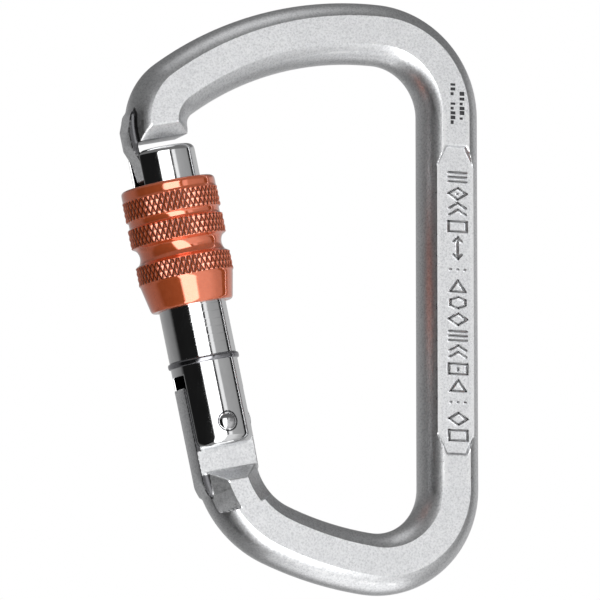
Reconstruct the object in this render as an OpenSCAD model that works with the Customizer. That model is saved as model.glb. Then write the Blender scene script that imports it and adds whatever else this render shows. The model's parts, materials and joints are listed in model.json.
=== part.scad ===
// Large steel D-shaped connector with a screw-locked gate.
// The loop lies in the XZ plane, +Z is up along the spine and +X points from the gate to the spine.
// The origin is where a hanging sling or anchor touches the inside of the top curve.

/* [Bar] */
// Diameter of the round bar the frame is bent from
bar_d = 12; // [11:0.1:13]
// Thickness of the frame over its pressed front and back flats
flat_t = 10.66; // [10:0.02:11.2]
// Length of the straight spine
spine_len = 73; // [68:0.5:78]
// Radius of the bend just below the hinge
hinge_bend_r = 17; // [15:0.1:19]
// Turn of the bend just below the hinge, in degrees
hinge_bend_a = 55; // [53:0.5:57]
// Radius of the long lower curve
lower_r = 69; // [60:0.5:78]
// Turn of the long lower curve, in degrees
lower_a = 16; // [14:0.5:18]
// Radius of the lower corner beside the spine
lower_corner_r = 15.3; // [14:0.1:17]
// Radius of the upper corner beside the spine
upper_corner_r = 15.5; // [14.5:0.1:16.5]
// Turn of the upper corner beside the spine, in degrees
upper_corner_a = 88; // [86.5:0.5:89.5]
// Radius of the long upper curve
upper_r = 65; // [63:0.5:67]
// Turn of the long upper curve, in degrees
upper_a = 39.5; // [38:0.5:41]

/* [Marking panel] */
// Length of the recessed panel on each side of the spine
panel_len = 60; // [40:1:66]
// Width of the recessed panel
panel_w = 7.6; // [6:0.1:8.4]
// Thickness of the spine between the two recessed panels
panel_t = 9.3; // [8.8:0.1:10.2]

/* [Gate] */
// Lean of the gate from the spine, in degrees
gate_tilt = 12.4; // [11:0.1:14]
// Outside diameter of the gate
gate_d = 13; // [12.8:0.05:13.2]
// Length of the gate above its hinge
gate_above = 54.2; // [53:0.1:54.6]
// Length of the gate below its hinge
gate_below = 4.5; // [4:0.1:5.5]
// Width of the slots for the nose tongue and the hinge tongue
slot_w = 5.9; // [5.7:0.1:6.3]
// Thickness of the nose tongue and the hinge tongue
tongue_t = 5.4; // [5:0.1:5.4]
// Distance from the hinge down to the shoulder of the frame
shoulder_z = 8.9; // [8.6:0.1:9.4]
// Distance from the hinge up to the end face of the nose
nose_z = 55.9; // [55.6:0.1:56.3]
// Height of the tip of the nose tongue above the hinge
tongue_tip_z = 48.2; // [48.2:0.1:48.6]

/* [Hinge] */
// Diameter of the hinge rivet shank
rivet_d = 3; // [2.6:0.1:3.4]
// Diameter of the rivet heads
rivet_head_d = 3.6; // [3.5:0.1:4.4]
// Diameter of the latch pin inside the gate tip
latch_pin_d = 2.4; // [2:0.1:2.6]
// Sideways offset of the cam that pushes the plunger, which sets its lift per radian
cam_offset = 1.8; // [1.4:0.1:2]
// Radius of the cam
cam_r = 4.4; // [4.1:0.1:4.4]

/* [Screw sleeve] */
// Largest diameter of the sleeve, over the knurling
sleeve_d = 18.6; // [18:0.1:19.4]
// Length of the sleeve
sleeve_len = 24; // [23:0.1:24]
// Height of the sleeve's lower end above the hinge, at rest
sleeve_z = 23.3; // [23.3:0.1:23.8]
// Height of the stop ring above the hinge
ring_z = 12.5; // [12:0.1:13]
// Outside diameter of the stop ring
ring_d = 13.9; // [13.6:0.1:14.3]

/* [Spring] */
// Outside diameter of the gate spring
spring_d = 4.3; // [3.9:0.1:4.4]
// Wire diameter of the gate spring
spring_wire = 0.7; // [0.5:0.1:0.8]
// Number of coils of the gate spring
spring_coils = 14; // [8:1:16]

/* [Hidden] */
$fn = 64;
bar_r = bar_d / 2;
gate_r = gate_d / 2;
run_gap = 0.06;
side_steps = 16;
bore_r = 2.35;
bore_top = 38;
slot_top = 6;
window_top = 10.3;
window_x = -3.2;
top_slot_z = 44;
latch_x = -2.0;
latch_z = 50.9;
plunger_gap = 0.02;
plunger_r = bore_r - 0.07;
plunger_top = 9.5;
spring_top = bore_top - 0.05;
spring_foot = plunger_top + 0.05;

// Directions and corner points of the bar's centre line, in (x, z), with the hinge at [0, 0].
function left_of(h) = [-sin(h), cos(h)];
axis_dir = [-sin(gate_tilt), cos(gate_tilt)];
across = [cos(gate_tilt), sin(gate_tilt)];
h0 = -90 + gate_tilt;
h1 = h0 + hinge_bend_a;
h2 = h1 + lower_a;
h4 = 90 + upper_corner_a;
h5 = h4 + upper_a;
h6 = 270 + gate_tilt;
p0 = -shoulder_z * axis_dir;
c1 = p0 + hinge_bend_r * left_of(h0);
p1 = c1 - hinge_bend_r * left_of(h1);
c2 = p1 + lower_r * left_of(h1);
p2 = c2 - lower_r * left_of(h2);
c3 = p2 + lower_corner_r * left_of(h2);
p3 = c3 - lower_corner_r * left_of(90);
p4 = p3 + [0, spine_len];
c4 = p4 + upper_corner_r * left_of(90);
p5 = c4 - upper_corner_r * left_of(h4);
c5 = p5 + upper_r * left_of(h4);
p6 = c5 - upper_r * left_of(h5);
// The last bend closes the loop: its radius brings the nose onto the gate's axis.
nose_turn = left_of(h5) - left_of(h6);
nose_bend_r = -(p6 * across) / (nose_turn * across);
c6 = p6 + nose_bend_r * left_of(h5);
p7 = c6 - nose_bend_r * left_of(h6);
nose_straight = p7 * axis_dir - nose_z;
// The highest point of the centre line lies on the long upper curve.
crown = c5 - upper_r * left_of(180);
anchor = crown - [0, bar_r];

// Moves a shape drawn about the hinge, with +Z along the gate, to its place in the part.
module on_gate() {
    translate([-anchor[0], 0, -anchor[1]]) rotate([0, -gate_tilt, 0]) children();
}

// Moves a shape drawn in the loop's own plane to its place in the part.
module in_loop() {
    translate([-anchor[0], 0, -anchor[1]]) rotate([90, 0, 0]) children();
}

// The bar's section: round, with a flat pressed on the front and on the back.
edge_a = asin(flat_t / bar_d);
section = [for (side = [0, 180]) for (i = [0 : side_steps])
    let (a = side - edge_a + 2 * edge_a * i / side_steps) [bar_r * cos(a), bar_r * sin(a)]];

// Stations along one bend: each is the centre-line point and the heading there.
function bend(c, r, h, a, n) = [for (i = [0 : n - 1])
    let (d = h + a * i / n) [c - r * left_of(d), d]];
stations = concat(
    bend(c1, hinge_bend_r, h0, hinge_bend_a, 14), bend(c2, lower_r, h1, lower_a, 6),
    bend(c3, lower_corner_r, h2, 90 - h2, 24), [[p3, 90]],
    bend(c4, upper_corner_r, 90, upper_corner_a, 22), bend(c5, upper_r, h4, upper_a, 14),
    bend(c6, nose_bend_r, h5, h6 - h5, 14), [[p7, h6], [p7 - nose_straight * axis_dir, h6]]);

// The bent bar, from the shoulder below the hinge round to the end face of the nose.
module bent_bar() {
    n = len(section);
    m = len(stations);
    points = [for (s = stations) for (q = section)
        [s[0][0] - q[0] * left_of(s[1])[0], s[0][1] - q[0] * left_of(s[1])[1], q[1]]];
    sides = [for (k = [0 : m - 2]) for (i = [0 : n - 1])
        let (a = k * n + i, b = k * n + (i + 1) % n) each [[a, b, b + n], [a, b + n, a + n]]];
    start_cap = [for (i = [0 : n - 1]) n - 1 - i];
    end_cap = [for (i = [0 : n - 1]) (m - 1) * n + i];
    polyhedron(points, concat([start_cap], sides, [end_cap]));
}

// The recessed panel on one side of the spine, with pointed ends.
module panel_cut() {
    w = panel_w / 2;
    l = panel_len / 2;
    translate([p3[0] + 0.4, (p3[1] + p4[1]) / 2, panel_t / 2])
        linear_extrude(3)
            polygon([[-w, -l + w], [-w + 2, -l], [w - 2, -l], [w, -l + w],
                     [w, l - w], [w - 2, l], [-w + 2, l], [-w, l - w]]);
}

// A slab of tongue thickness, cut to an outline drawn in the gate's own plane.
module slab(points) {
    rotate([90, 0, 0]) linear_extrude(tongue_t, center = true) polygon(points);
}

module pin_y(x, z, r, half) {
    translate([x, 0, z]) rotate([90, 0, 0]) cylinder(r = r, h = 2 * half, center = true);
}

// The tongue that fills the gate's lower slot, with the cam that lifts the plunger.
module hinge_tongue() {
    difference() {
        union() {
            slab([[-6.4, -shoulder_z - 1.5], [5.8, -shoulder_z - 0.5], [6.1, -1],
                  [5.2, 2.6], [-3.5, 3.2], [-3.6, 7.6], [-4.2, 7.9], [-6.1, 7.9], [-6.7, 7],
                  [-6.7, -shoulder_z]]);
            translate([cam_offset, 0, 0]) rotate([90, 0, 0])
                cylinder(r = cam_r, h = tongue_t, center = true);
        }
        pin_y(0, 0, rivet_d / 2 + run_gap, 10);
    }
}

// The tongue on the outer side of the nose, notched so that it hooks over the latch pin.
module nose_tongue() {
    difference() {
        slab([[-5.1, tongue_tip_z + 0.5], [-4.6, tongue_tip_z], [-2.3, tongue_tip_z],
              [-1.9, tongue_tip_z + 0.4], [-1.9, nose_z - 2.7], [-2.4, nose_z - 2.3],
              [-4.8, nose_z - 2.3], [-5.2, nose_z - 1.8], [-5.2, nose_z + 0.4],
              [-4.2, nose_z + 3], [-5, nose_z + 5.6], [-6, nose_z + 4.3], [-6.6, nose_z + 2.9],
              [-7, nose_z + 1.3], [-7.1, nose_z + 0.2], [-5.5, nose_z - 3.5]]);
        pin_y(latch_x, latch_z, latch_pin_d / 2 + 0.15, 10);
    }
}

// One front or back chamfer at the nose's end face.
module nose_chamfer(side) {
    translate([0, side * flat_t / 2, nose_z - 0.01]) rotate([side * 32, 0, 0])
        translate([-10, side > 0 ? 0 : -6, -6]) translate([0, side * -1.3, 0]) cube([20, 6, 9.2]);
}

// The relief milled on one side of the bar where the hinge shoulder ramps up to the flat.
module shoulder_ramp(side) {
    translate([0, side * (tongue_t / 2 + 0.05), -shoulder_z]) rotate([side * -40.3, 0, 0])
        translate([-10, side > 0 ? 0 : -8, 0]) cube([20, 8, 6]);
}

module frame() {
    color([0.80, 0.81, 0.82]) {
        difference() {
            union() {
                in_loop() bent_bar();
                on_gate() hinge_tongue();
                on_gate() nose_tongue();
            }
            in_loop() panel_cut();
            in_loop() mirror([0, 0, 1]) panel_cut();
            for (side = [-1, 1]) {
                on_gate() shoulder_ramp(side);
                on_gate() nose_chamfer(side);
            }
        }
    }
}

// Half outline of the gate: a rod with a rounded lower end and an eased rim.
module gate_outline() {
    low = 2;
    top = 0.8;
    translate([0, -gate_below + low]) square([gate_r, gate_above + gate_below - low - top]);
    translate([0, -gate_below]) square([gate_r - low, low + 1]);
    translate([0, gate_above - top - 1]) square([gate_r - top, top + 1]);
    intersection() {
        translate([gate_r - low, -gate_below + low]) circle(r = low);
        translate([0, -gate_below - 1]) square([gate_r + 1, low + 1]);
    }
    intersection() {
        translate([gate_r - top, gate_above - top]) circle(r = top);
        translate([0, gate_above - top]) square([gate_r + 1, top + 1]);
    }
}

module block(x0, x1, z0, z1) {
    translate([x0, -slot_w / 2, z0]) cube([x1 - x0, slot_w, z1 - z0]);
}

module gate_tube() {
    color([0.86, 0.87, 0.88]) on_gate() difference() {
        rotate_extrude() gate_outline();
        block(-10, 10, -gate_below - 1, slot_top);
        block(-10, window_x, slot_top - 1, window_top);
        block(-10, -0.5, top_slot_z, gate_above + 1);
        translate([0, 0, slot_top - 1]) cylinder(r = bore_r, h = bore_top - slot_top + 1);
        pin_y(0, 0, rivet_d / 2, 10);
        for (side = [-1, 1]) {
            translate([0, side * 8, 0]) rotate([90, 0, 0])
                cylinder(r = rivet_head_d / 2 + 0.03, h = 4.8, center = true);
        }
        pin_y(latch_x, latch_z, latch_pin_d / 2, 10);
        translate([0, 0, ring_z - 0.6]) difference() {
            cylinder(r = gate_r + 1, h = 1.2);
            translate([0, 0, -1]) cylinder(r = gate_r - 0.55, h = 4);
        }
    }
}

module hinge_rivet() {
    color([0.72, 0.73, 0.75]) on_gate() {
        pin_y(0, 0, rivet_d / 2, 5.7);
        for (side = [-1, 1]) {
            translate([0, side * 6.15, 0]) rotate([90, 0, 0])
                cylinder(r = rivet_head_d / 2, h = 1.0, center = true);
            translate([0, side * 6.64, 0]) rotate([-side * 90, 0, 0])
                cylinder(r1 = rivet_head_d / 2, r2 = rivet_head_d / 2 - 0.5, h = 0.36);
        }
    }
}

module latch_pin() {
    color([0.74, 0.75, 0.77]) on_gate() intersection() {
        pin_y(latch_x, latch_z, latch_pin_d / 2, gate_r);
        translate([0, 0, latch_z - 3]) cylinder(r = gate_r, h = 6);
    }
}

// A split ring: a flat ring with a gap of the given angle, centred on the given direction.
module split_ring(r_in, r_out, z0, h, gap, dir) {
    translate([0, 0, z0]) rotate([0, 0, dir + gap / 2])
        rotate_extrude(angle = 360 - gap) translate([r_in, 0]) square([r_out - r_in, h]);
}

module stop_ring() {
    color([0.55, 0.56, 0.58]) on_gate()
        split_ring(gate_r - 0.5, ring_d / 2, ring_z - 0.55, 1.1, 16, 60);
}

// One coil of the spring, drawn as a closed ring of wire.
module coil(z) {
    translate([0, 0, z]) rotate_extrude()
        translate([(spring_d - spring_wire) / 2, 0]) circle(d = spring_wire);
}

// The spring stands for its own coils: closed rings on two thin side wires keep it one solid.
module gate_spring() {
    span = spring_top - spring_foot - spring_wire;
    color([0.45, 0.46, 0.48]) on_gate() {
        for (i = [0 : spring_coils]) {
            coil(spring_foot + spring_wire / 2 + i * span / spring_coils);
        }
        for (side = [-1, 1]) {
            translate([side * (spring_d - spring_wire) / 2, 0, spring_foot + spring_wire / 2])
                cylinder(d = spring_wire * 0.7, h = span);
        }
    }
}

module spring_plunger() {
    color([0.78, 0.74, 0.60]) on_gate() {
        translate([0, 0, cam_r + plunger_gap])
            cylinder(r = plunger_r, h = plunger_top - cam_r - plunger_gap);
        translate([0, 0, plunger_top - 0.5]) cylinder(r = 1.2, h = 7);
    }
}

module friction_ring() {
    color([0.60, 0.61, 0.62]) on_gate()
        split_ring(gate_r + run_gap, gate_r + 0.75, sleeve_z + 2.8, 1.1, 30, 0);
}

// Half outline of the sleeve, from its lower end up: taper, three knurled bands, a waist
// above the lowest band, and a plain collar at the top.
module sleeve_outline() {
    r = sleeve_d / 2;
    z = [0, 0.5, 4.8, 5.3, 5.7, 9.1, 9.5, 10.5, 11.5, 12.5, 12.9, 16.5, 16.8, 17.8, 18.1, 21.8,
         22.1, sleeve_len - 0.5, sleeve_len];
    o = [r - 1.6, r - 1.25, r - 0.35, r - 0.3, r - 0.05, r - 0.05, r - 0.7, r - 1.3, r - 1.3, r - 0.7,
         r, r, r - 0.45, r - 0.45, r, r, r - 0.15, r - 0.15, r - 0.55];
    polygon(concat([[gate_r + run_gap, 0]], [for (i = [0 : len(z) - 1]) [o[i], z[i]]],
                   [[gate_r + 0.6, sleeve_len], [gate_r + 0.6, sleeve_len - 1.2],
                    [gate_r + run_gap, sleeve_len - 1.8]]));
}

module screw_sleeve() {
    color([0.83, 0.42, 0.26]) on_gate() translate([0, 0, sleeve_z]) difference() {
        rotate_extrude() sleeve_outline();
        translate([0, 0, 2.7]) cylinder(r = gate_r + 0.85, h = 1.3);
    }
}

frame();
gate_tube();
hinge_rivet();
latch_pin();
stop_ring();
gate_spring();
spring_plunger();
friction_ring();
screw_sleeve();
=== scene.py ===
"""Looks for a large steel D connector with a screw-locked gate.

Every piece is meshed from the same sizes as the CAD part. The frame and the gate's slotted ends
come from distance fields, which give them true fillets. Turned and knurled pieces are swept grids.
Lengths in the geometry code are in millimetres and become metres when a mesh is made.
"""

import json
import math

import bpy
import numpy as np
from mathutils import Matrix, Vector


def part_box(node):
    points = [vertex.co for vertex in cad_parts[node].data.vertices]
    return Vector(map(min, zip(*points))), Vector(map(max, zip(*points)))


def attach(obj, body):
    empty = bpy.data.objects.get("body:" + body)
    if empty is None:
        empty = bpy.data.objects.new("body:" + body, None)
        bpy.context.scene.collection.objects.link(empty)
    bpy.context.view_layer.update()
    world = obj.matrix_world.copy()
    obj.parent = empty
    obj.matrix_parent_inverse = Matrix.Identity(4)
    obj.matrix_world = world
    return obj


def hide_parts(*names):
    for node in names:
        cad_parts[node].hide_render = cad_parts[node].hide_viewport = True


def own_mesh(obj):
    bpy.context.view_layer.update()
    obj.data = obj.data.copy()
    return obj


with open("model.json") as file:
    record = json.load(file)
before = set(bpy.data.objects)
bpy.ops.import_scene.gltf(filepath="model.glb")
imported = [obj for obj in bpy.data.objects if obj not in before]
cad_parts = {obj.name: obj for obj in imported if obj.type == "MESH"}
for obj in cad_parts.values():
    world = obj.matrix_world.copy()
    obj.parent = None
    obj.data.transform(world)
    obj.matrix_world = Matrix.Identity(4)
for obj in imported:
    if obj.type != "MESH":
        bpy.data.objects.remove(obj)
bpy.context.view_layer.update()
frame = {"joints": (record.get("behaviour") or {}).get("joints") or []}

MM = 0.001

# ---------------------------------------------------------------- sizes, as in the CAD part
BAR_R = 6.0
FLAT_Y = 5.33
SPINE_LEN = 73.0
TILT = 12.4
SHOULDER_Z = 8.9
NOSE_Z = 55.9
TONGUE_T = 5.4
TIP_Z = 48.2
SLOT_W = 5.9
GATE_R = 6.5
GATE_TOP = 54.2
GATE_FOOT = -4.5
BORE_R = 2.35
HINGE_HOLE_R = 1.56
RING_Z = 12.5
SLEEVE_Z = 23.3
SLEEVE_R = 9.3
SLEEVE_BORE_R = 6.56
LATCH_X, LATCH_Z, LATCH_R = -2.0, 50.9, 1.2
PANEL_LEN, PANEL_W, PANEL_Y = 60.0, 7.6, 4.65
PITCH = 1.5

# ---------------------------------------------------------------- sizes of what only the looks have
STEP_S, STEP_SLANT = 7.8, 0.3  # along the bar, where the flats widen, and that step's slant
NARROW_HALF = 1.95  # half the width of the flats before the step
THREAD_TOP = 33.0
# the radius of the painted shade ring round the rivet head
HEAD_SHADE_R = 1.87
KNURL_STARTS, KNURL_LEAD, KNURL_DEPTH = 52, 2.3, 0.25
CORE_R = 0.001  # a turned solid starts this close to its axis

hinge = next(j for j in frame["joints"] if j["name"] == "gate_hinge")
PIVOT = np.array(hinge["pos_m"]) / MM
AXIS2 = np.array([-math.sin(math.radians(TILT)), math.cos(math.radians(TILT))])
ACROSS2 = np.array([AXIS2[1], -AXIS2[0]])


def left_of(h):
    """Unit vector to the left of heading h, in degrees, in the loop's plane."""
    return np.array([-math.sin(math.radians(h)), math.cos(math.radians(h))])


def heading(h):
    """Unit vector along heading h, in degrees, in the loop's plane."""
    return np.array([math.cos(math.radians(h)), math.sin(math.radians(h))])


# ---------------------------------------------------------------- the bar's centre line
def centre_line():
    """The bent bar as a list of arcs and straights, each with its start, in (x, z) of the part.

    It runs from the hinge round the bottom, up the spine and over the top to the nose, and goes
    on a little past both ends, which the hinge shoulder and the nose's end face cut off.
    """
    segments = []
    past = 4.0
    p = PIVOT[[0, 2]] - (SHOULDER_Z - past) * AXIS2
    h = -90 + TILT
    length = -past

    def straight(p, h, n, length):
        segments.append(("line", p.copy(), h, n, length))
        return p + n * heading(h), length + n

    def arc(p, h, r, turn, length):
        c = p + r * left_of(h)
        segments.append(("arc", c, r, h, turn, length))
        return c - r * left_of(h + turn), h + turn, length + r * math.radians(turn)

    p, length = straight(p, h, past, length)
    for r, turn in ((17.0, 55.0), (69.0, 16.0)):
        p, h, length = arc(p, h, r, turn, length)
    p, h, length = arc(p, h, 15.3, 90 - h, length)
    spine = (p.copy(), length)
    p, length = straight(p, h, SPINE_LEN, length)
    for r, turn in ((15.5, 88.0), (65.0, 39.5)):
        p, h, length = arc(p, h, r, turn, length)
    # the last bend's radius brings the nose in line with the gate
    last = 270 + TILT
    n = left_of(h) - left_of(last)
    r = -((p - PIVOT[[0, 2]]) @ ACROSS2) / (n @ ACROSS2)
    p, h, length = arc(p, h, r, last - h, length)
    end = (p - PIVOT[[0, 2]]) @ AXIS2
    p, length = straight(p, h, end - NOSE_Z + past, length)
    return segments, spine, length


SEGMENTS, SPINE, TOTAL = centre_line()
SPINE_X = SPINE[0][0]
PANEL_MID_Z = SPINE[0][1] + SPINE_LEN / 2


def along_bar(x, z):
    """For each point, its signed distance outside the centre line and the length along it."""
    q = np.full(x.shape, 99.0, np.float32)
    s = np.zeros(x.shape, np.float32)
    for seg in SEGMENTS:
        if seg[0] == "line":
            _, p, h, n, start = seg
            ahead, left = heading(h), left_of(h)
            t = (x - p[0]) * ahead[0] + (z - p[1]) * ahead[1]
            off = -((x - p[0]) * left[0] + (z - p[1]) * left[1])
            ok = (t >= 0) & (t <= n)
            at = start + t
        else:
            _, c, r, h, turn, start = seg
            a = np.degrees(np.arctan2(z - c[1], x - c[0])) - (h - 90)
            a = np.mod(a + 90, 360) - 90
            off = np.hypot(x - c[0], z - c[1]) - r
            ok = (a >= 0) & (a <= turn)
            at = start + r * np.radians(a)
        ok &= np.abs(off) < np.abs(q)
        q[ok] = off[ok]
        s[ok] = at[ok]
    return q, s


# ---------------------------------------------------------------- distance fields
def cut_round(a, b, r):
    """Intersection of two solids with its edge rounded to radius r."""
    return np.minimum(-r, np.maximum(a, b)) + np.hypot(np.maximum(r + a, 0), np.maximum(r + b, 0))


def cut_bevel(a, b, c):
    """Intersection of two solids with its edge bevelled by c along each face."""
    root_half = 0.7071
    return np.maximum(np.maximum(a, b), (a + b + c) * root_half)


def add_round(a, b, r):
    """Union of two solids with a fillet of radius r."""
    return -cut_round(-a, -b, r)


def take_round(a, b, r):
    """Solid a with solid b removed, its edge rounded to radius r."""
    return cut_round(a, -b, r)


def outline(points, x, z):
    """Signed distance to a closed polygon, negative inside."""
    pts = np.array(points, float)
    best = np.full(np.broadcast(x, z).shape, 1e9, np.float32)
    inside = np.zeros(best.shape, bool)
    for a, b in zip(pts, np.roll(pts, -1, 0)):
        e = b - a
        wx, wz = x - a[0], z - a[1]
        t = np.clip((wx * e[0] + wz * e[1]) / (e @ e), 0, 1)
        best = np.minimum(best, np.hypot(wx - e[0] * t, wz - e[1] * t))
        crosses = (a[1] > z) != (b[1] > z)
        with np.errstate(divide="ignore", invalid="ignore"):
            at = a[0] + (z - a[1]) * e[0] / (e[1] if e[1] else 1e-9)
        inside ^= crosses & (x < at)
    return np.where(inside, -best, best)


def surface_net(f, low, h):
    """Vertices and quads of the zero surface of a sampled field, by naive surface nets."""
    neg = f < 0
    nx, ny, nz = f.shape
    count = np.zeros((nx - 1, ny - 1, nz - 1), np.uint8)
    for i in (0, 1):
        for j in (0, 1):
            for k in (0, 1):
                count += neg[i : nx - 1 + i, j : ny - 1 + j, k : nz - 1 + k]
    active = np.flatnonzero((count > 0) & (count < 8))
    ci, cj, ck = np.unravel_index(active, count.shape)
    total = np.zeros((len(active), 3))
    hits = np.zeros(len(active))
    for axis in range(3):
        others = [a for a in range(3) if a != axis]
        for u in (0, 1):
            for v in (0, 1):
                o0 = [0, 0, 0]
                o0[others[0]], o0[others[1]] = u, v
                o1 = list(o0)
                o1[axis] = 1
                fa = f[ci + o0[0], cj + o0[1], ck + o0[2]].astype(float)
                fb = f[ci + o1[0], cj + o1[1], ck + o1[2]].astype(float)
                hit = (fa < 0) != (fb < 0)
                t = np.where(hit, fa / np.where(hit, fa - fb, 1), 0)
                for a in range(3):
                    total[:, a] += np.where(hit, o0[a] + (t if a == axis else 0), 0)
                hits += hit
    verts = np.stack([ci, cj, ck], 1) + total / hits[:, None]
    number = np.full(count.size, -1, np.int64)
    number[active] = np.arange(len(active))
    number = number.reshape(count.shape)
    quads = []
    for axis in range(3):
        order = [axis] + [a for a in range(3) if a != axis]
        n = np.moveaxis(neg, order, [0, 1, 2])
        m = np.moveaxis(number, order, [0, 1, 2])
        change = n[:-1, 1:-1, 1:-1] != n[1:, 1:-1, 1:-1]
        i, j, k = np.nonzero(change)
        out = n[i, j + 1, k + 1]
        ring = [m[i, j, k], m[i, j + 1, k], m[i, j + 1, k + 1], m[i, j, k + 1]]
        quad = np.stack(ring, 1)
        flip = ~out if axis != 1 else out
        quad[flip] = quad[flip][:, ::-1]
        quads.append(quad)
    return verts * h + np.array(low), np.concatenate(quads)


def field_mesh(low, high, h, field):
    """Samples field(x, y, z) on a grid of spacing h between two corners and meshes it."""
    # the grid starts part of a cell off, so that no flat face of a solid lies on its nodes
    before, after = 2.37 * h, 2.4 * h
    low = np.array(low, float) - before
    n = [int(math.ceil((b + after - a) / h)) + 1 for a, b in zip(low, high)]
    x, y, z = [(low[a] + h * np.arange(n[a])).astype(np.float32).reshape(shape)
               for a, shape in enumerate(((-1, 1, 1), (1, -1, 1), (1, 1, -1)))]
    return surface_net(field(x, y, z).astype(np.float32), low, h)


# ---------------------------------------------------------------- meshes and placing
def place(verts):
    """Turns gate coordinates, about the hinge with +Z along the gate, into the part's."""
    v = np.asarray(verts, float)
    out = np.empty_like(v)
    out[:, 0] = PIVOT[0] + v[:, 0] * ACROSS2[0] + v[:, 2] * AXIS2[0]
    out[:, 1] = v[:, 1]
    out[:, 2] = PIVOT[2] + v[:, 0] * ACROSS2[1] + v[:, 2] * AXIS2[1]
    return out


def make(name, parts, material, body, nodes=(), sharp=None, attr=None):
    """One object from a list of (vertices in mm, faces), riding on a body.

    Faces are an array of quads, or a list where they have different numbers of corners. attr is
    written as the mesh attribute which the materials read for painted shade and for the knurl's wear.
    """
    verts, faces, base = [], [], 0
    for v, f in parts:
        verts.append(np.asarray(v, float))
        if isinstance(f, list):
            faces.append([np.asarray(q, np.int64) + base for q in f])
        else:
            faces.append(f + base)
        base += len(v)
    verts = np.concatenate(verts) * MM
    mesh = bpy.data.meshes.new(name)
    loops, starts, sizes = [], [], []
    at = 0
    for f in faces:
        if isinstance(f, np.ndarray):
            loops.append(f.ravel())
            starts.append(at + np.arange(len(f)) * f.shape[1])
            at += f.size
        else:
            for q in f:
                loops.append(q)
                starts.append([at])
                at += len(q)
    loops = np.concatenate(loops).astype(np.int32)
    starts = np.concatenate(starts).astype(np.int32)
    mesh.vertices.add(len(verts))
    mesh.vertices.foreach_set("co", verts.astype(np.float32).ravel())
    mesh.loops.add(len(loops))
    mesh.loops.foreach_set("vertex_index", loops)
    mesh.polygons.add(len(starts))
    mesh.polygons.foreach_set("loop_start", starts)
    mesh.update(calc_edges=True)
    mesh.validate()
    mesh.polygons.foreach_set("use_smooth", np.ones(len(mesh.polygons), bool))
    if attr is not None:
        layer = mesh.attributes.new("wear_and_shade", "FLOAT", "POINT")
        layer.data.foreach_set("value", np.asarray(attr, np.float32))
    if sharp is not None:
        mesh.set_sharp_from_angle(angle=math.radians(sharp))
    mesh.materials.append(material)
    obj = bpy.data.objects.new(name, mesh)
    bpy.context.scene.collection.objects.link(obj)
    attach(obj, body)
    if nodes:
        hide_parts(*nodes)
    return obj


def revolve(profile, n, start=0.0, sweep=360.0):
    """Turns a closed (r, z) profile about Z. A part turn gets end caps."""
    prof = np.array(profile, float)
    full = sweep >= 360
    cols = n if full else n + 1
    a = np.radians(start + sweep * np.arange(cols) / n)
    verts = np.empty((cols, len(prof), 3))
    verts[..., 0] = np.cos(a)[:, None] * prof[None, :, 0]
    verts[..., 1] = np.sin(a)[:, None] * prof[None, :, 0]
    verts[..., 2] = prof[None, :, 1]
    faces = grid_faces(cols, len(prof), True, True) if full else capped_faces(cols, len(prof))
    return verts.reshape(-1, 3), faces


def grid_faces(rows, cols, wrap_rows, wrap_cols):
    """Quads of a rows by cols grid of vertices, numbered row by row."""
    i = np.arange(rows if wrap_rows else rows - 1)
    j = np.arange(cols if wrap_cols else cols - 1)
    i, j = [g.ravel() for g in np.meshgrid(i, j, indexing="ij")]
    i2, j2 = (i + 1) % rows, (j + 1) % cols
    return np.stack([i * cols + j, i2 * cols + j, i2 * cols + j2, i * cols + j2], 1)


def capped_faces(rings, per_ring):
    """Quads between closed rings of vertices, with a cap on the first and on the last ring."""
    caps = [np.arange(per_ring), ((rings - 1) * per_ring + np.arange(per_ring))[::-1]]
    return [np.array(q) for q in grid_faces(rings, per_ring, False, True)] + caps


def rounded(points, radius, steps=4):
    """A closed polygon with each corner turned into a small curve, from at most 0.45 of its sides."""
    pts = [np.array(p, float) for p in points]
    out = []
    for k, p in enumerate(pts):
        a, b = pts[k - 1], pts[(k + 1) % len(pts)]
        da, db = a - p, b - p
        la, lb = np.linalg.norm(da), np.linalg.norm(db)
        r = min(radius, la * 0.45, lb * 0.45)
        start, end = p + da / la * r, p + db / lb * r
        for t in np.linspace(0, 1, steps + 1):
            out.append((1 - t) ** 2 * start + 2 * t * (1 - t) * p + t**2 * end)
    return np.array(out)


# ---------------------------------------------------------------- materials
ALONG_GATE = (0, math.radians(TILT), 0)


def nodes_of(name):
    """A new node material with its tree and its shader."""
    mat = bpy.data.materials.new(name)
    mat.use_nodes = True
    nt = mat.node_tree
    return mat, nt, nt.nodes["Principled BSDF"]


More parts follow.
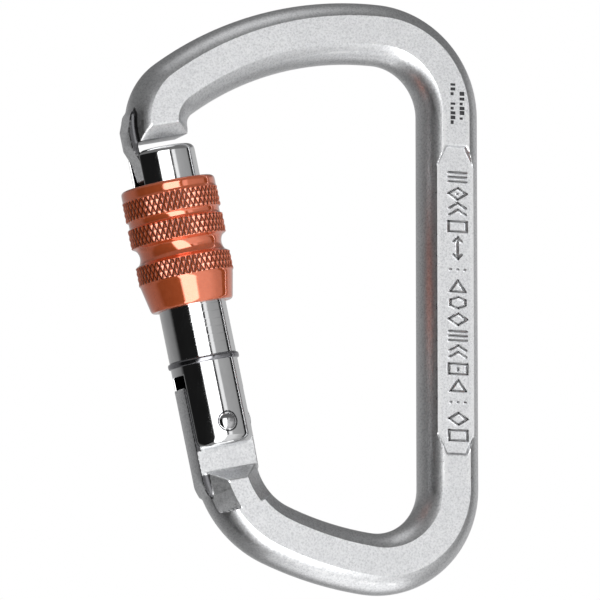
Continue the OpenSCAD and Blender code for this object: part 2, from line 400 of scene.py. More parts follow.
class Net:
    """Short calls for wiring a material."""

    def __init__(self, nt):
        self.nt = nt

    def node(self, kind, **values):
        n = self.nt.nodes.new(kind)
        for key, value in values.items():
            setattr(n, key, value)
        return n

    def link(self, a, b):
        self.nt.links.new(a, b)

    def mm(self, scale=(1, 1, 1), turn=(0, 0, 0)):
        """Object coordinates in millimetres, scaled and turned."""
        tex = self.node("ShaderNodeTexCoord")
        m = self.node("ShaderNodeMapping")
        m.inputs["Rotation"].default_value = turn
        m.inputs["Scale"].default_value = [1000 * s for s in scale]
        self.link(tex.outputs["Object"], m.inputs["Vector"])
        return m.outputs["Vector"]

    def wear_and_shade(self):
        """The mesh's own attribute of painted shade, and of wear on the sleeve's knurl."""
        return self.node("ShaderNodeAttribute", attribute_name="wear_and_shade").outputs["Fac"]

    def noise(self, vector, scale, detail=3.0, rough=0.5):
        n = self.node("ShaderNodeTexNoise")
        n.inputs["Scale"].default_value = scale
        n.inputs["Detail"].default_value = detail
        n.inputs["Roughness"].default_value = rough
        self.link(vector, n.inputs["Vector"])
        return n.outputs["Fac"]

    def remap(self, value, a, b, c, d):
        """Takes the range a to b onto c to d."""
        n = self.node("ShaderNodeMapRange")
        for key, v in zip(("From Min", "From Max", "To Min", "To Max"), (a, b, c, d)):
            n.inputs[key].default_value = v
        self.link(value, n.inputs["Value"])
        return n.outputs["Result"]

    def math(self, op, a, b=None):
        n = self.node("ShaderNodeMath", operation=op)
        for k, v in enumerate((a, b)):
            if v is None:
                continue
            if isinstance(v, (int, float)):
                n.inputs[k].default_value = v
            else:
                self.link(v, n.inputs[k])
        return n.outputs["Value"]

    def mix(self, fac, a, b):
        n = self.node("ShaderNodeMix", data_type="RGBA")
        for key, v in ((0, fac), (6, a), (7, b)):
            if isinstance(v, (int, float)):
                n.inputs[key].default_value = v
            elif isinstance(v, tuple):
                n.inputs[key].default_value = (*v, 1)
            else:
                self.link(v, n.inputs[key])
        return n.outputs[2]

    def bump(self, height, strength, distance, under=None):
        n = self.node("ShaderNodeBump")
        n.inputs["Strength"].default_value = strength
        n.inputs["Distance"].default_value = distance * MM
        self.link(height, n.inputs["Height"])
        if under is not None:
            self.link(under, n.inputs["Normal"])
        return n.outputs["Normal"]

    def scratches(self, turn, scale, width, seed):
        """Thin straight lines, broken up, as a 0 to 1 mask."""
        v = self.mm((scale, scale * 0.06, scale * 0.06), turn)
        cells = self.noise(v, 1.0, 2.0, 0.6)
        lines = self.math("ABSOLUTE", self.math("SUBTRACT", cells, 0.5 + seed * 0.013))
        return self.remap(lines, 0.0, width, 1.0, 0.0)


def satin_steel():
    """The zinc-plated forging: fine grain, soft dents, brighter edges, painted shade on the tongue sides.
    """
    mat, nt, bsdf = nodes_of("satin_steel")
    w = Net(nt)
    big = w.noise(w.mm(), 0.22, 3)
    mid = w.noise(w.mm(), 1.4, 4, 0.6)
    fine = w.noise(w.mm(), 2.4, 4, 0.8)
    tone = w.mix(w.remap(big, 0.35, 0.65, 0, 1), (0.83, 0.838, 0.852), (0.88, 0.887, 0.898))
    tone = w.mix(w.remap(mid, 0.3, 0.7, 0, 0.5), tone, (0.91, 0.917, 0.927))
    tone = w.mix(w.remap(fine, 0.38, 0.56, 0.95, 0), tone, (0.62, 0.628, 0.642))
    geo = w.node("ShaderNodeNewGeometry")
    edge = w.remap(geo.outputs["Pointiness"], 0.51, 0.56, 0, 0.55)
    tone = w.mix(edge, tone, (0.96, 0.962, 0.965))
    # painted shade, near black, on the tongue sides that the gate's slots hide
    w.link(w.mix(w.wear_and_shade(), tone, (0.10, 0.10, 0.105)), bsdf.inputs["Base Color"])
    rough = w.remap(mid, 0.3, 0.7, 0.33, 0.40)
    rough = w.math("SUBTRACT", rough, w.math("MULTIPLY", edge, 0.12))
    w.link(rough, bsdf.inputs["Roughness"])
    bsdf.inputs["Metallic"].default_value = 1.0
    grain = w.bump(fine, 0.4, 0.035)
    dents = w.bump(mid, 0.14, 0.05, grain)
    w.link(dents, bsdf.inputs["Normal"])
    return mat


def polished_steel():
    """The plated gate: fine turning lines, smears, a few scratches, painted shade in its slots and round
    the rivet.
    """
    mat, nt, bsdf = nodes_of("polished_steel")
    w = Net(nt)
    lines = w.noise(w.mm((0.05, 0.05, 9), ALONG_GATE), 1.0, 2)
    smear = w.noise(w.mm((0.5, 0.5, 0.25), ALONG_GATE), 1.0, 4, 0.6)
    marks = w.scratches((0.1, 0.2, 0.4), 0.9, 0.006, 2)
    tone = w.mix(w.remap(smear, 0.35, 0.7, 0, 1), (0.80, 0.805, 0.815), (0.88, 0.885, 0.89))
    # painted shade, near black, inside the slots and bore and round the rivet head
    w.link(w.mix(w.wear_and_shade(), tone, (0.035, 0.035, 0.04)), bsdf.inputs["Base Color"])
    rough = w.remap(smear, 0.3, 0.7, 0.045, 0.11)
    w.link(w.math("ADD", rough, w.math("MULTIPLY", marks, 0.08)), bsdf.inputs["Roughness"])
    bsdf.inputs["Metallic"].default_value = 1.0
    w.link(w.bump(marks, 0.1, 0.004, w.bump(lines, 0.06, 0.004)), bsdf.inputs["Normal"])
    return mat


def plain_steel(name, light, dark, rough):
    """Ground or drawn steel for the pins, rings and spring."""
    mat, nt, bsdf = nodes_of(name)
    w = Net(nt)
    mid = w.noise(w.mm(), 2.2, 4, 0.6)
    fine = w.noise(w.mm(), 9.0, 2)
    w.link(w.mix(w.remap(mid, 0.3, 0.7, 0, 1), dark, light), bsdf.inputs["Base Color"])
    w.link(w.remap(mid, 0.3, 0.7, rough, rough + 0.12), bsdf.inputs["Roughness"])
    bsdf.inputs["Metallic"].default_value = 1.0
    w.link(w.bump(fine, 0.2, 0.01), bsdf.inputs["Normal"])
    return mat


def orange_anodised():
    """The sleeve: clear-coated orange, paler where the knurl's points are worn, painted shade in its cuts.
    """
    mat, nt, bsdf = nodes_of("orange_anodised")
    w = Net(nt)
    mid = w.noise(w.mm(), 0.9, 3)
    lines = w.noise(w.mm((0.08, 0.08, 12), ALONG_GATE), 1.0, 2)
    wear_and_shade = w.wear_and_shade()
    tone = w.mix(w.remap(mid, 0.35, 0.65, 0, 1), (0.84, 0.160, 0.046), (0.90, 0.180, 0.056))
    worn = w.math("MULTIPLY", w.remap(wear_and_shade, 0.72, 0.98, 0, 1), w.remap(mid, 0.4, 0.62, 0.45, 1.0))
    tone = w.mix(worn, tone, (0.98, 0.56, 0.42))
    # painted shade, near black, in the knurl's cuts
    tone = w.mix(w.remap(wear_and_shade, 0.10, 0.40, 0.93, 0), tone, (0.03, 0.008, 0.006))
    w.link(tone, bsdf.inputs["Base Color"])
    w.link(w.remap(mid, 0.3, 0.7, 0.08, 0.14), bsdf.inputs["Roughness"])
    bsdf.inputs["Metallic"].default_value = 0.6
    w.link(w.remap(wear_and_shade, 0.10, 0.40, 0.1, 1), bsdf.inputs["Coat Weight"])
    bsdf.inputs["Coat Roughness"].default_value = 0.06
    bsdf.inputs["Coat IOR"].default_value = 2.05
    w.link(w.bump(lines, 0.12, 0.006), bsdf.inputs["Normal"])
    return mat


def etched_ink():
    """The dark printed dashes."""
    mat, nt, bsdf = nodes_of("etched_mark")
    w = Net(nt)
    n = w.noise(w.mm(), 8.0, 3)
    w.link(w.mix(n, (0.02, 0.02, 0.022), (0.06, 0.06, 0.065)), bsdf.inputs["Base Color"])
    w.link(w.remap(n, 0.3, 0.7, 0.55, 0.75), bsdf.inputs["Roughness"])
    return mat


STEEL = satin_steel()
CHROME = polished_steel()
RIVET = plain_steel("rivet_steel", (0.66, 0.66, 0.67), (0.52, 0.52, 0.53), 0.08)
RING = plain_steel("ring_steel", (0.40, 0.40, 0.42), (0.28, 0.28, 0.30), 0.10)
SPRING = plain_steel("spring_steel", (0.52, 0.52, 0.53), (0.40, 0.40, 0.42), 0.25)
ORANGE = orange_anodised()
INK = etched_ink()


# ---------------------------------------------------------------- the forged frame
# the outlines of both tongues, as (across, along) the gate from the hinge
HINGE_TONGUE = [(-6.7, 7.0), (-6.1, 7.9), (-4.2, 7.9), (-3.6, 7.5), (-3.5, 3.2), (5.2, 2.6),
                (6.05, -1.0), (5.8, -9.6), (0.0, -9.8), (-3.6, -12.2), (-5.0, -13.4), (-5.5, -13.2),
                (-6.05, -11.6), (-6.45, -9.8), (-6.7, -7.0)]
NOSE_TONGUE = [(-5.1, TIP_Z + 0.5), (-4.6, TIP_Z), (-2.3, TIP_Z), (-1.9, TIP_Z + 0.4),
               (-1.9, NOSE_Z - 2.7), (-2.4, NOSE_Z - 2.3), (-4.8, NOSE_Z - 2.3),
               (-5.2, NOSE_Z - 1.8), (-5.2, NOSE_Z + 0.4), (-4.2, NOSE_Z + 3), (-5.0, NOSE_Z + 6.2),
               (-5.5, NOSE_Z + 5.6), (-6.0, NOSE_Z + 4.3), (-6.6, NOSE_Z + 2.9),
               (-7.0, NOSE_Z + 1.3), (-7.1, NOSE_Z + 0.2), (-5.5, NOSE_Z - 3.5)]


def gate_coordinates(x, z):
    """Where points of the part lie across and along the closed gate, from the hinge."""
    rx, rz = x - PIVOT[0], z - PIVOT[2]
    return rx * ACROSS2[0] + rz * ACROSS2[1], rx * AXIS2[0] + rz * AXIS2[1]


def frame_field(x, y, z):
    """Distance outside the forging. A slanted cut is a plane, by its slope's cosine and sine."""
    x2, z2 = x + 0 * z, z + 0 * x
    q, s = along_bar(x2, z2)
    gx, gz = gate_coordinates(x2, z2)
    ay = np.abs(y)
    f = np.hypot(q, y) - BAR_R
    f = np.maximum(f, ay - FLAT_Y)
    # the narrower start of the flats by the hinge
    bevel = 0.766 * (ay - FLAT_Y) + 0.643 * (np.abs(q) - NARROW_HALF)
    f = np.where(s < STEP_S - STEP_SLANT * q, np.maximum(f, bevel), f)
    # the recessed panel on each face of the spine, an octagon
    w, l, nib = PANEL_W / 2 + 0.05, PANEL_LEN / 2, 2
    panel = outline([(-w, -l + w), (-w + nib, -l), (w - nib, -l), (w, -l + w), (w, l - w),
                     (w - nib, l), (-w + nib, l), (-w, l - w)], x2 - SPINE_X, z2 - PANEL_MID_Z)
    f = np.maximum(f, -np.maximum(panel - 0.5 * (ay - PANEL_Y), PANEL_Y - ay))
    # the hinge shoulder, ramped front and back
    near = (gz < 0) & (gx < 12)
    f = np.where(near, cut_round(f, gz + SHOULDER_Z, 0.15), f)
    near = near & (gz > -16)
    f = np.where(near, cut_round(f, 0.647 * (ay - 2.75) + 0.763 * (gz + SHOULDER_Z), 0.1), f)
    # the nose's end face, chamfered front and back and on the inner side
    near = (gz > 20) & (gx < 12)
    f = np.where(near, cut_round(f, NOSE_Z - gz, 0.15), f)
    near = near & (gz < 59.5)
    f = np.where(near, cut_round(f, 0.792 * (ay - FLAT_Y) - 0.611 * (gz - 58.4), 0.12), f)
    near = near & (gz < 59)
    f = np.where(near, cut_round(f, 0.84 * (gx - 4.9) - 0.543 * (gz - NOSE_Z), 0.25), f)
    # the tongues at both ends, with the cam, the latch pin's notch and the rivet's hole
    half = TONGUE_T / 2
    low = np.minimum(outline(HINGE_TONGUE, gx, gz), np.hypot(gx - 1.8, gz) - 4.4)
    low = np.maximum(cut_bevel(low, ay - half, 0.2), np.where(gx < 0, np.hypot(gx, y) - 6.62, -9))
    f = add_round(f, low, 0.3)
    top = cut_bevel(outline(NOSE_TONGUE, gx, gz), ay - half, 0.2)
    top = np.maximum(top, np.hypot(gx, y) - 7.05)
    top = np.maximum(top, -(np.hypot(gx - LATCH_X, gz - LATCH_Z) - LATCH_R - 0.15) + 0 * ay)
    f = add_round(f, top, 0.4)
    near = (gx > -5.0) & (gx < 12) & (gz > GATE_TOP) & (gz < NOSE_Z + 1)
    f = np.where(near, np.maximum(f, NOSE_Z - gz), f)
    return np.maximum(f, HINGE_HOLE_R - np.hypot(gx, gz))


def snap_creases(verts, step):
    """Moves vertices beside the edges of the flats and panels onto those edges, to keep them crisp."""
    x, y, z = verts.T
    q, s = along_bar(x, z)
    in_panel = np.abs(s - SPINE[1] - SPINE_LEN / 2) < PANEL_LEN / 2 - PANEL_W / 2
    flat = np.where(in_panel, PANEL_Y, FLAT_Y)
    step_s = STEP_S - STEP_SLANT * q
    edge = np.where(s < step_s, NARROW_HALF, np.sqrt(BAR_R**2 - flat**2))
    near = (np.abs(np.abs(y) - flat) < 0.62 * step) & (np.abs(np.abs(q) - edge) < 0.9 * step)
    # not on the step itself, nor where the shoulder and the nose's chamfers cut the edges
    near &= (s > 2.5) & (np.abs(s - step_s) > 0.25) & (s < TOTAL - 6.6)
    x, y, z, q = x[near], y[near], z[near], q[near]
    e = 0.05  # for the slope of q
    gx = (along_bar(x + e, z)[0] - q) / e
    gz = (along_bar(x, z + e)[0] - q) / e
    move = np.sign(q) * edge[near] - q
    out = verts.copy()
    out[near] = np.stack([x + gx * move, np.sign(y) * flat[near], z + gz * move], 1)
    return out


def build_frame():
    """The forging, with painted shade marked on its tongues' sides inside the gate's slots."""
    low, high = [np.array(c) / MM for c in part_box("frame")]
    step = 0.18
    verts, quads = field_mesh(low, high, step, frame_field)
    verts = np.clip(snap_creases(verts, step), low, high)
    x, y, z = verts.T
    gx, gz = gate_coordinates(x, z)
    ay = np.abs(y)
    # painted shade on the sides of the hinge tongue, in the corner under it and beside the nose tongue
    tongue_shade = (ay > 2.3) & (ay < 2.86) & (gx < -5.2) & (gz > -4.6) & (gz < 9)
    tongue_shade |= (ay > 2.3) & (ay < 4.1) & (gx < -4.6) & (gz > -14) & (gz < -9.2)
    tongue_shade |= (ay > 2.3) & (ay < 3.4) & (gx < -4.4) & (gz > TIP_Z - 1) & (gz < NOSE_Z + 7)
    tongue_shade &= ~((ay < 2.6) & (np.hypot(gx, y) > 6.4))
    make("forged_frame", [(verts, quads)], STEEL, "frame", ["frame"], sharp=16,
         attr=tongue_shade.astype(float))


# ---------------------------------------------------------------- marks on the spine
def ridge(a, b, width, height, base, side):
    """A low rounded bar from a to b, in (x, z), standing on the panel floor."""
    a, b = np.array(a, float), np.array(b, float)
    d = b - a
    n = np.linalg.norm(d)
    d = d / n if n > 1e-6 else np.array([1.0, 0.0])
    s = np.array([-d[1], d[0]])
    rings, corners = [], 16
    for r, h in ((width / 2, -0.1), (width / 2, 0.35 * height), (width / 2 * 0.82, 0.8 * height),
                 (width / 2 * 0.5, height)):
        ring = []
        for k in range(corners):
            t = 2 * math.pi * k / corners
            c = b if math.cos(t) > 0 else a
            ring.append([*(c + d * r * math.cos(t) + s * r * math.sin(t)), h])
        rings.append(ring)
    v = np.array(rings).reshape(-1, 3)
    verts = np.stack([v[:, 0], side * (base + v[:, 2]), v[:, 1]], 1)
    faces = capped_faces(len(rings), corners)
    # the caps are wound against the sides, which gives the shapes their dark outlines
    faces[-2:] = [cap[::-1] for cap in faces[-2:]]
    return verts, faces if side > 0 else [q[::-1] for q in faces]


def mark_strokes():
    """Generic shapes for the panel, each with its width along it: none is a letter or number.

    A shape is a list of strokes in (along, across).
    """
    dot = [(0, 0), (0.01, 0)]
    box = [(-1, -1.9), (1, -1.9), (1, 1.9), (-1, 1.9), (-1, -1.9)]
    gem = [(0, -1.9), (1.15, 0), (0, 1.9), (-1.15, 0), (0, -1.9)]
    tent = [(-1.1, -1.6), (1.1, 0), (-1.1, 1.6), (-1.1, -1.6)]
    arrows = [[(-2.2, 0), (2.2, 0)], [(-1.3, -0.8), (-2.2, 0), (-1.3, 0.8)],
              [(1.3, -0.8), (2.2, 0), (1.3, 0.8)]]
    twin = [[(-0.9, -1.7), (0.1, 0), (-0.9, 1.7)], [(0.4, -1.7), (1.4, 0), (0.4, 1.7)]]
    dots = [[(0, -1.5), (0.01, -1.5)], [(0, 0), (0.01, 0)], [(0, 1.5), (0.01, 1.5)]]
    bars = [[(-0.9, -1.8), (-0.9, 1.8)], [(0, -1.8), (0, 1.8)], [(0.9, -1.8), (0.9, 1.8)]]
    six = [(1.1 * math.cos(t), 1.8 * math.sin(t)) for t in np.arange(0, 6.3, math.pi / 3)]
    shapes = [[box], [gem], dots, [tent], [box, [(-0.2, 0), (0.2, 0)]], twin, bars, [gem],
              [six], [tent], dots, arrows, [box], twin, [gem, dot], bars]
    return [(shape, 5.2 if shape is arrows else 3.25) for shape in shapes]


def build_marks():
    """The raised shapes on both panels, from the lower end up."""
    x0 = SPINE_X + 0.4
    width, height = 0.62, 0.42
    parts = []
    for side in (-1, 1):
        at = -28.2
        for shape, room in mark_strokes():
            mid = PANEL_MID_Z + at + room / 2
            for line in shape:
                for a, b in zip(line, line[1:]):
                    pa = (x0 + side * a[1], mid + a[0])
                    pb = (x0 + side * b[1], mid + b[0])
                    parts.append(ridge(pa, pb, width, height, PANEL_Y, side))
            at += room
    make("panel_marks", parts, STEEL, "frame")


def slab_box(lo, hi):
    """The corners and faces of a box between two corners."""
    v = np.array([[(lo, hi)[i][0], (lo, hi)[j][1], (lo, hi)[k][2]]
                  for i in (0, 1) for j in (0, 1) for k in (0, 1)])
    f = [[0, 1, 3, 2], [4, 6, 7, 5], [0, 4, 5, 1], [2, 3, 7, 6], [0, 2, 6, 4], [1, 5, 7, 3]]
    return v, [np.array(q) for q in f]


def build_etch():
    """A short printed pattern of dashes high on the spine, on the front only."""
    parts = []
    x0, z0 = SPINE_X + 0.3, SPINE[0][1] + 71.0
    spacing, sunk, proud = 0.95, 0.03, 0.012
    rng = np.random.default_rng(5)
    for row, (dx, n) in enumerate(((-1.0, 9), (0.9, 6))):
        for k in range(n):
            if row == 0 and k == 5:
                continue
            z = z0 + (k if row == 0 else k + 1) * spacing
            h = 0.45 + 0.35 * rng.random()
            lo = (x0 + dx - 0.5, -FLAT_Y - proud, z)
            hi = (x0 + dx + 0.5 * (1 if k % 3 else 0.3), -FLAT_Y + sunk, z + h)
            parts.append(slab_box(lo, hi))
    make("etched_dashes", parts, INK, "frame")


# ---------------------------------------------------------------- the gate
def gate_field(x, y, z):
    """Distance outside the gate's rod, in gate coordinates."""
    r = np.hypot(x, y)
    f = cut_round(r - GATE_R, GATE_FOOT - z, 1.9)
    f = cut_round(f, z - GATE_TOP, 1.2)
    in_slot = np.abs(y) - SLOT_W / 2
    # the slot for the hinge tongue, its window to the outer side, and the slot for the nose tongue
    low = np.maximum(np.maximum(in_slot, z - 6.0), -(z + 20))
    window = np.maximum(np.maximum(in_slot, z - 10.3), np.maximum(x + 3.2, 5 - z))
    top = np.maximum(np.maximum(in_slot, 44.0 - z), x + 0.5)
    for slot in (low + 0 * x, window, top):
        f = take_round(f, slot, 0.15)
    bore = np.maximum(np.maximum(r - BORE_R, z - 38.0), 5 - z)
    return np.maximum(f, -bore)


def gate_end(z0, z1, cut):
    """A slotted end of the gate between two heights, cut(z) being its cut face, and where shade is painted
    on it.
    """
    step = 0.12
    verts, quads = field_mesh((-GATE_R, -GATE_R, z0), (GATE_R, GATE_R, z1), step,
                              lambda x, y, z: np.maximum(gate_field(x, y, z), cut(z)))
    x, y, z = verts.T
    # painted shade inside the slots and the bore, and in a ring round the rivet head on each side
    inside = (np.hypot(x, y) < GATE_R - 0.3) & (z < GATE_TOP - 1.3) & (z > -2.0)
    head_shade = (np.abs(np.hypot(x, z) - HEAD_SHADE_R) < 0.14) & (np.abs(y) > 5.5)
    return (place(verts), quads), (inside | head_shade).astype(float)


def gate_middle():
    """The gate from the stop ring's groove up, swept as a grid with one shallow helical groove."""
    n = 288
    groove_r, low, high = GATE_R - 0.55, RING_Z - 0.6, RING_Z + 0.6
    zs = np.arange(RING_Z + 0.8, THREAD_TOP + 1, 0.06)
    foot = [(BORE_R, low), (groove_r, low), (groove_r, high), (GATE_R - 0.08, high), (GATE_R, high + 0.08)]
    prof = foot + [(GATE_R, z) for z in zs] + [(BORE_R, zs[-1])]
    verts, faces = revolve(prof, n)
    verts = verts.reshape(n, len(prof), 3)
    z = verts[..., 2]
    turn = np.arange(n)[:, None] / n
    phase = np.mod(z / PITCH - turn, 1.0)
    half_width, depth, fade_in = 0.22, 0.014, 1.5
    groove = np.clip(1 - np.abs(phase - 0.5) * PITCH / half_width, 0, 1)
    fade = np.clip((z - RING_Z - 1.6) / fade_in, 0, 1) * np.clip((THREAD_TOP - z) / fade_in, 0, 1)
    outer = np.zeros(len(prof), bool)
    outer[len(foot):-1] = True
    verts[..., :2] *= (1 - depth * groove * fade / GATE_R * outer[None, :])[..., None]
    return (place(verts.reshape(-1, 3)), faces), np.zeros(n * len(prof))


def build_gate():
    """The gate's rod: its two slotted ends and the threaded middle."""
    pieces = [gate_end(GATE_FOOT, RING_Z, lambda z: z - RING_Z),
              gate_end(THREAD_TOP, GATE_TOP, lambda z: THREAD_TOP - z), gate_middle()]
    parts, dark = zip(*pieces)
    make("gate_rod", parts, CHROME, "gate", ["gate_tube"], sharp=40,
         attr=np.concatenate(dark))


def lay_across(verts, x, z):
    """Turns a piece revolved about Z so that it lies along Y at a point of the gate."""
    v = np.stack([verts[:, 0] + x, -verts[:, 2], verts[:, 1] + z], 1)
    return place(v)


def build_pins():
    """The hinge rivet with its low domed heads, and the flush latch pin."""
    head = [(CORE_R, -6.98), (0.5, -6.95), (0.95, -6.86), (1.3, -6.7), (1.55, -6.5), (1.7, -6.28),
            (1.79, -6.0), (1.79, -5.7), (1.5, -5.65)]
    prof = head + [(r, -h) for r, h in head[::-1]]
    verts, faces = revolve(prof, 64)
    make("hinge_rivet_body", [(lay_across(verts, 0, 0), faces)], RIVET, "gate", ["hinge_rivet"],
         sharp=50)
    prof = [(CORE_R, -1), (0.7, -1), (LATCH_R, -1), (LATCH_R, 1), (0.7, 1), (CORE_R, 1)]
    verts, faces = revolve(prof, 64)
    verts[:, 2] *= np.sqrt(GATE_R**2 - (LATCH_X + verts[:, 0]) ** 2) - 0.02
    make("latch_pin_body", [(lay_across(verts, LATCH_X, LATCH_Z), faces)], CHROME, "gate",
         ["latch_pin"], sharp=50)


def build_rings():
    """The two split rings."""
    prof = rounded([(6.0, RING_Z - 0.55), (6.92, RING_Z - 0.55), (6.92, RING_Z + 0.55),
                    (6.0, RING_Z + 0.55)], 0.38)
    verts, faces = revolve(prof, 160, 68, 344)
    make("stop_ring_body", [(place(verts), faces)], RING, "gate", ["stop_ring"], sharp=50)
    z = SLEEVE_Z + 2.8
    prof = rounded([(SLEEVE_BORE_R, z), (7.25, z), (7.25, z + 1.1), (SLEEVE_BORE_R, z + 1.1)], 0.2)
    verts, faces = revolve(prof, 120, 15, 330)
    make("friction_ring_body", [(place(verts), faces)], RING, "carrier", ["friction_ring"],
         sharp=50)


def build_spring():
    """A helical compression spring with closed ends."""
    low, high, wire, mean = 9.6, 37.9, 0.35, 1.78
    turns, per, sides = 15.0, 28, 12
    n = int(turns * per)
    t = np.linspace(0, turns, n + 1)
    span = high - low - 2 * wire
    closed = 0.72 * wire * 2
    rise = np.interp(t, [0, 1, turns - 1, turns], [0, closed, span - closed, span])
    a = 2 * math.pi * t
    path = np.stack([mean * np.cos(a), mean * np.sin(a), low + wire + rise], 1)
    rings = []
    for k in range(n + 1):
        d = path[min(k + 1, n)] - path[max(k - 1, 0)]
        d /= np.linalg.norm(d)
        out = np.array([math.cos(a[k]), math.sin(a[k]), 0])
        up = np.cross(out, d)
        rings.append([path[k] + wire * (math.cos(b) * out + math.sin(b) * up)
                      for b in np.arange(sides) * 2 * math.pi / sides])
    verts = np.array(rings).reshape(-1, 3)
    obj = make("gate_spring_coil", [(place(verts), capped_faces(n + 1, sides))], SPRING, "gate",
               ["gate_spring"])
    top = place(np.array([[0, 0, high]]))[0] * MM
    axis = place(np.array([[0, 0, 1.0]]))[0] - place(np.zeros((1, 3)))[0]
    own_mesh(obj)


def build_plunger():
    """The pin under the spring, with the stem that guides the coils."""
    z0, z1 = 4.42, 9.5
    head_r, stem_r, z2 = 2.28, 1.2, z1 + 6.5
    prof = rounded([(CORE_R, z0), (head_r, z0), (head_r, z1), (stem_r, z1), (stem_r, z2),
                    (CORE_R, z2)], 0.2)
    verts, faces = revolve(prof, 64)
    make("plunger_pin", [(place(verts), faces)], RIVET, "plunger", ["spring_plunger"],
         sharp=50)


# ---------------------------------------------------------------- the knurled sleeve
def build_sleeve():
    """The sleeve as one swept grid, its bands knurled by two crossing sets of helical cuts."""
    r = SLEEVE_R
    # (radius, height, knurled) from the lower end up, matching the CAD outline
    outer = [(r - 1.6, 0.0, 0), (r - 1.42, 0.15, 0), (r - 1.25, 0.5, 0), (r - 0.35, 4.8, 0),
             (r - 0.3, 5.2, 0), (r - 0.07, 5.6, 0), (r - 0.05, 5.7, 1), (r - 0.05, 9.05, 1),
             (r - 0.25, 9.25, 0), (r - 0.72, 9.5, 0)]
    outer += [(r - 0.72 - 0.58 * math.sin(math.pi * t) ** 0.7, 9.5 + 3.0 * t, 0)
              for t in np.linspace(0.06, 0.94, 14)]
    outer += [(r - 0.72, 12.5, 0), (r - 0.2, 12.8, 0), (r, 12.95, 1), (r, 16.45, 1),
              (r - 0.38, 16.75, 0), (r - 0.45, 16.85, 0), (r - 0.45, 17.75, 0), (r - 0.38, 17.85, 0),
              (r, 18.15, 1), (r, 21.75, 1), (r - 0.1, 22.0, 0), (r - 0.15, 22.1, 0),
              (r - 0.15, 23.35, 0), (r - 0.2, 23.6, 0), (r - 0.32, 23.83, 0), (r - 0.55, 24.0, 0)]
    bore = SLEEVE_BORE_R
    inner = [(7.1, 24.0), (7.1, 22.8), (bore, 22.2), (bore, 4.0), (7.35, 4.0), (7.35, 2.7), (bore, 2.7),
             (bore, 0.25), (6.75, 0.0)]
    fine, coarse = 0.08, 0.3
    rows, knurl = [], []
    for (r0, z0, k0), (r1, z1, k1) in zip(outer, outer[1:]):
        in_band = k0 and k1
        n = max(1, int(round(math.hypot(r1 - r0, z1 - z0) / (fine if in_band else coarse))))
        for t in np.arange(n) / n:
            rows.append((r0 + (r1 - r0) * t, z0 + (z1 - z0) * t))
            knurl.append(1.0 if in_band else 0.0)
    rows += [outer[-1][:2]] + inner
    knurl += [0.0] * (len(inner) + 1)
    rows, knurl = np.array(rows), np.array(knurl)
    n = 1040
    verts, faces = revolve(rows, n)
    verts = verts.reshape(n, len(rows), 3)
    z = rows[None, :, 1]
    turn = np.arange(n)[:, None] / n
    u = turn * KNURL_STARTS + z / KNURL_LEAD
    v = turn * KNURL_STARTS - z / KNURL_LEAD
    waves = [1 - np.abs(np.mod(wave, 1.0) * 2 - 1) for wave in (u, v)]
    # 0 in the cuts and 1 on the points, which are a little blunt
    point = np.clip(np.minimum(*waves) * 1.06, 0, 1)
    depth = KNURL_DEPTH * (1 - point) * knurl[None, :]
    verts[..., :2] *= (1 - depth / rows[None, :, 0])[..., None]
    # the knurl's height, which the material turns into wear on the points and painted shade in the cuts
    plain_wear = 0.6
    wear_and_shade = np.where(knurl[None, :] > 0, point, plain_wear) + 0 * depth
    verts = verts.reshape(-1, 3)
    verts[:, 2] += SLEEVE_Z
    make("sleeve_shell", [(place(verts), faces)], ORANGE, "sleeve", ["screw_sleeve"],
         sharp=55, attr=wear_and_shade.ravel())


# ---------------------------------------------------------------- floor, light and camera
AZ, EL = math.radians(-20.6), math.radians(-8.6)
TARGET = Vector((-0.01330, 0.0, -0.04702))
DIST = 1.3
VIEW_MM = 115.9  # what the picture spans at the target


def build_camera():
    """The photograph's view, from the gate side and a little below."""
    cam = bpy.data.cameras.new("camera")
    cam.sensor_width = 36
    cam.lens = 36 * DIST / (VIEW_MM * MM)
    cam.clip_end = 20
    obj = bpy.data.objects.new("camera", cam)
    away = Vector((math.sin(AZ) * math.cos(EL), -math.cos(AZ) * math.cos(EL), math.sin(EL)))
    obj.location = TARGET + DIST * away
    obj.rotation_euler = away.to_track_quat("Z", "Y").to_euler()
    bpy.context.scene.collection.objects.link(obj)
    bpy.context.scene.camera = obj


def build_floor():
    """A small pale floor far below, since the object hangs on plain white."""
    mesh = bpy.data.meshes.new("floor")
    s, z = 0.4, -1.0
    mesh.from_pydata([(-s, -s, z), (s, -s, z), (s, s, z), (-s, s, z)], [], [(0, 1, 2, 3)])
    mat, nt, bsdf = nodes_of("floor_paper")
    w = Net(nt)
    n = w.noise(w.mm(), 0.004, 3)
    w.link(w.mix(n, (0.78, 0.78, 0.78), (0.83, 0.83, 0.83)), bsdf.inputs["Base Color"])
    bsdf.inputs["Roughness"].default_value = 0.9
    mesh.materials.append(mat)
    obj = bpy.data.objects.new("floor", mesh)
    bpy.context.scene.collection.objects.link(obj)


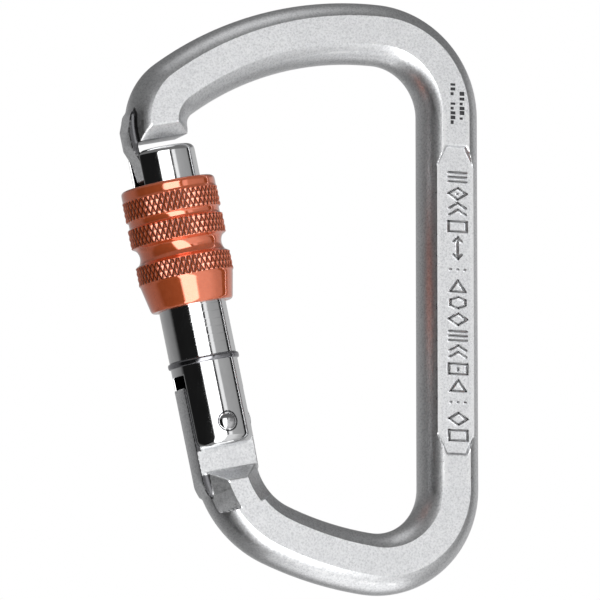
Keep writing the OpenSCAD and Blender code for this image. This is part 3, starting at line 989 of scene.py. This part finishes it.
def build_world():
    """A studio all round: light walls, dark gaps between them, white behind the object.

    Angles run round the object in degrees from the photograph's view, so the studio stays put.
    """
    world = bpy.data.worlds.new("studio")
    bpy.context.scene.world = world
    world.use_nodes = True
    nt = world.node_tree
    w = Net(nt)
    back = nt.nodes["Background"]
    tex = w.node("ShaderNodeTexCoord")
    xyz = w.node("ShaderNodeSeparateXYZ")
    w.link(tex.outputs["Generated"], xyz.inputs[0])

    def along(v):
        return w.math("ADD", w.math("MULTIPLY", xyz.outputs[0], v[0]),
                      w.math("MULTIPLY", xyz.outputs[1], v[1]))

    to_right, to_front = (math.cos(AZ), math.sin(AZ)), (math.sin(AZ), -math.cos(AZ))
    angle = w.math("ARCTAN2", along(to_right), along(to_front))
    around = w.remap(angle, -math.pi, math.pi, 0, 1)

    def bands(stops):
        """Light and dark round the object, from (degrees, brightness) stops."""
        ramp = w.node("ShaderNodeValToRGB")
        w.link(around, ramp.inputs[0])
        while len(ramp.color_ramp.elements) < len(stops):
            ramp.color_ramp.elements.new(0.5)
        for e, (degrees, v) in zip(ramp.color_ramp.elements, stops):
            e.position = (degrees + 180) / 360
            e.color = (v, v, v, 1)
        return ramp.outputs[0]

    left = [(-180, 0.16), (-130, 0.10), (-92, 0.06), (-78, 0.003), (-14, 0.003), (-9, 1.0), (26, 1.0)]
    right = [(101, 0.005), (113, 0.005), (118, 0.16), (180, 0.16)]
    above_level = bands(left + [(28.5, 0.01), (34, 0.01), (36, 0.30), (46, 0.30), (49, 0.13), (98, 0.10)]
                        + right)
    below_level = bands(left + [(29, 0.25), (60, 0.23), (80, 0.14), (98, 0.11)] + right)
    under = bands([(-180, 0.08), (-92, 0.05), (-78, 0.003), (-14, 0.003), (-9, 1.0), (26, 1.0),
                   (29, 0.25), (62, 0.24), (88, 0.15), (110, 0.10), (180, 0.08)])
    height = xyz.outputs[2]
    ring = w.mix(w.remap(height, 0.02, 0.05, 0, 1), below_level, above_level)
    upper = w.mix(w.remap(height, 0.95, 0.98, 0, 1), (0.055, 0.055, 0.055), (0.3, 0.3, 0.3))
    studio = w.mix(w.remap(height, 0.30, 0.42, 0, 1), ring, upper)
    studio = w.mix(w.remap(height, -0.5, -0.35, 1, 0), studio, under)
    seen = w.node("ShaderNodeLightPath").outputs["Is Camera Ray"]
    w.link(w.mix(seen, studio, (1.0, 1.0, 1.0)), back.inputs["Color"])
    studio_strength, backdrop_strength = 3.2, 1.0
    drop = w.math("MULTIPLY", seen, studio_strength - backdrop_strength)
    w.link(w.math("SUBTRACT", studio_strength, drop), back.inputs["Strength"])


def build_glow():
    """A soft light under the object, for the bright line along its lower edge."""
    light = bpy.data.lights.new("under_glow", "AREA")
    light.size = 0.26
    light.energy = 0.2
    obj = bpy.data.objects.new("under_glow", light)
    obj.location = (0.09, 0.04, -0.38)
    obj.rotation_euler = (math.pi, 0, 0)
    obj.visible_camera = False
    bpy.context.scene.collection.objects.link(obj)


build_frame()
build_marks()
build_etch()
build_gate()
build_pins()
build_rings()
build_spring()
build_plunger()
build_sleeve()
build_floor()
build_glow()
build_world()
build_camera()
bpy.context.scene.view_settings.view_transform = "Standard"
